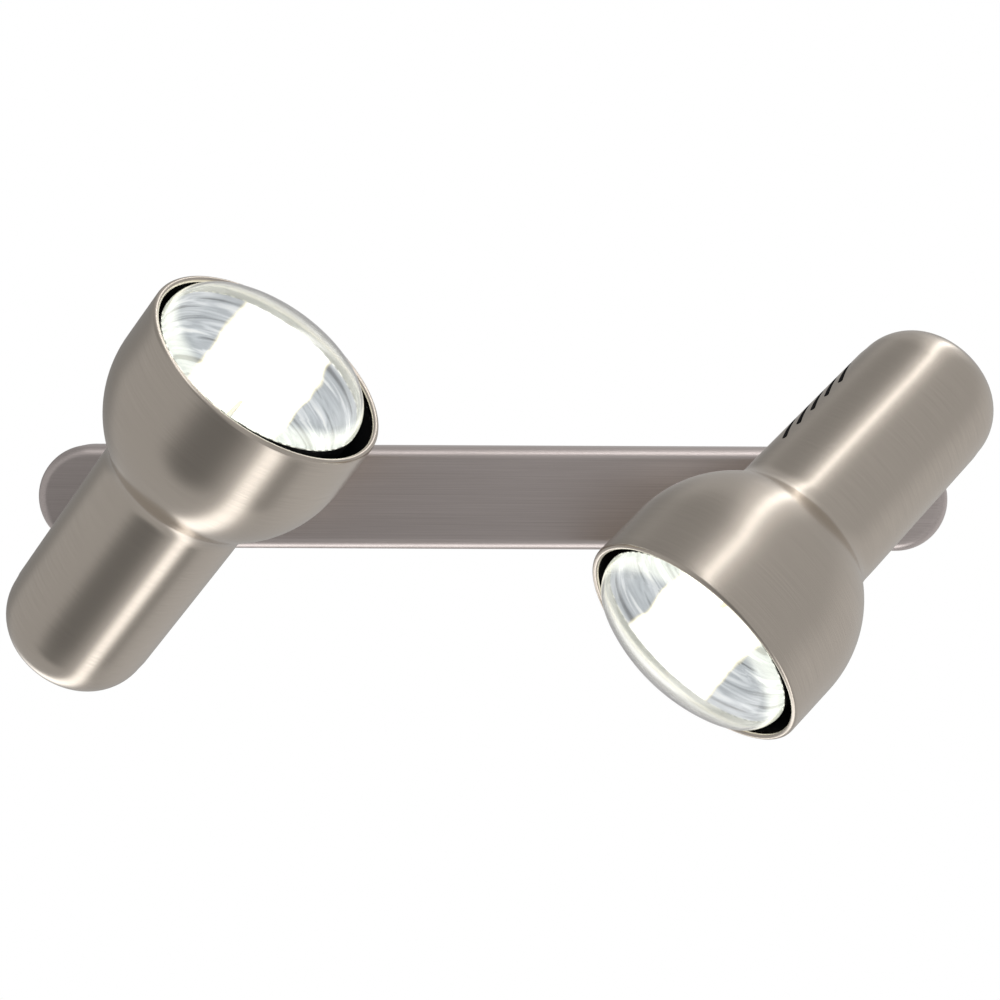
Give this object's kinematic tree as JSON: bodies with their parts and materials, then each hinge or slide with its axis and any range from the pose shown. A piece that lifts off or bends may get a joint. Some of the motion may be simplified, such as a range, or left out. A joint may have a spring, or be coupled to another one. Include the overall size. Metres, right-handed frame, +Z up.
{
  "type": "pivoting spotlight wall light",
  "caption": "Wall light: a flat round-ended bar with swivelling and tilting spot heads, each a domed tube that swells to a wide mouth round a reflector lamp.",
  "frame": {"origin": "middle of the wall strap's back face, on the wall", "axes": "+X along the bar to the right, +Y into the wall, +Z up, so the light stands off towards -Y"},
  "size_m": [0.3621, 0.1683, 0.1634],
  "materials": {
    "brushed_nickel": "satin brushed nickel plate on steel",
    "zinc_steel": "bright zinc plate",
    "nickel_screw": "satin nickel plate",
    "black_rubber": "moulded",
    "brass": "plain turned",
    "white_plastic": "moulded",
    "white_nylon": "natural nylon",
    "lead_sleeve": "silicone sleeving",
    "black_plastic": "heat-proof moulding",
    "lamp_cap_metal": "bright",
    "cap_glass": "dark vitreous insulator",
    "mirrored_glass": "silvered inside",
    "face_glass": "clear, faintly dimpled",
    "stem_glass": "clear",
    "support_wire": "drawn wire",
    "tungsten": "coiled filament, lit"
  },
  "bodies": {
    "bar": {"bar_cover": "brushed_nickel", "wall_strap": "zinc_steel", "side_screws": "nickel_screw", "cable_grommet": "black_rubber", "earth_screw": "brass", "terminal_block": "white_plastic", "terminal_barrels": "brass", "terminal_screws": "zinc_steel", "block_screws": "zinc_steel", "swivel_nipples": "zinc_steel", "locknuts": "zinc_steel", "tooth_washers": "zinc_steel", "friction_washers": "white_nylon", "spring_washers": "zinc_steel", "left_bar_leads": "lead_sleeve", "right_bar_leads": "lead_sleeve"},
    "left_arm": {"left_swivel_drum": "brushed_nickel", "left_tilt_screw": "nickel_screw", "left_tilt_nut": "nickel_screw", "left_tilt_bushes": "white_nylon", "left_swivel_leads": "lead_sleeve"},
    "left_head": {"left_tube_lug": "brushed_nickel", "left_lug_screws": "zinc_steel", "left_lamp_shell": "brushed_nickel", "left_holder_bracket": "zinc_steel", "left_holder_screws": "zinc_steel", "left_lampholder_body": "black_plastic", "left_contact_shell": "brass", "left_centre_contact": "brass", "left_head_leads": "lead_sleeve", "left_lamp_cap": "lamp_cap_metal", "left_lamp_insulator": "cap_glass", "left_lamp_reflector": "mirrored_glass", "left_lamp_face": "face_glass", "left_lamp_stem": "stem_glass", "left_lamp_supports": "support_wire", "left_lamp_filament": "tungsten"},
    "right_arm": {"right_swivel_drum": "brushed_nickel", "right_tilt_screw": "nickel_screw", "right_tilt_nut": "nickel_screw", "right_tilt_bushes": "white_nylon", "right_swivel_leads": "lead_sleeve"},
    "right_head": {"right_tube_lug": "brushed_nickel", "right_lug_screws": "zinc_steel", "right_lamp_shell": "brushed_nickel", "right_holder_bracket": "zinc_steel", "right_holder_screws": "zinc_steel", "right_lampholder_body": "black_plastic", "right_contact_shell": "brass", "right_centre_contact": "brass", "right_head_leads": "lead_sleeve", "right_lamp_cap": "lamp_cap_metal", "right_lamp_insulator": "cap_glass", "right_lamp_reflector": "mirrored_glass", "right_lamp_face": "face_glass", "right_lamp_stem": "stem_glass", "right_lamp_supports": "support_wire", "right_lamp_filament": "tungsten"}
  },
  "joints": [
    {"name": "left_pan", "type": "hinge", "parent": "bar", "child": "left_arm", "pos_m": [-0.1175, -0.022, 0], "axis": [0, -1, 0], "range_deg": [-171.75, 158.25]},
    {"name": "left_tilt", "type": "hinge", "parent": "left_arm", "child": "left_head", "pos_m": [-0.1175, -0.046, 0], "axis": [0.7853, 0, -0.6191], "range_deg": [-38, 19]},
    {"name": "right_pan", "type": "hinge", "parent": "bar", "child": "right_arm", "pos_m": [0.1175, -0.022, 0], "axis": [0, -1, 0], "range_deg": [-164.2, 165.8]},
    {"name": "right_tilt", "type": "hinge", "parent": "right_arm", "child": "right_head", "pos_m": [0.1175, -0.046, 0], "axis": [-0.6972, 0, 0.7169], "range_deg": [-36.7, 20.3]}
  ]
}
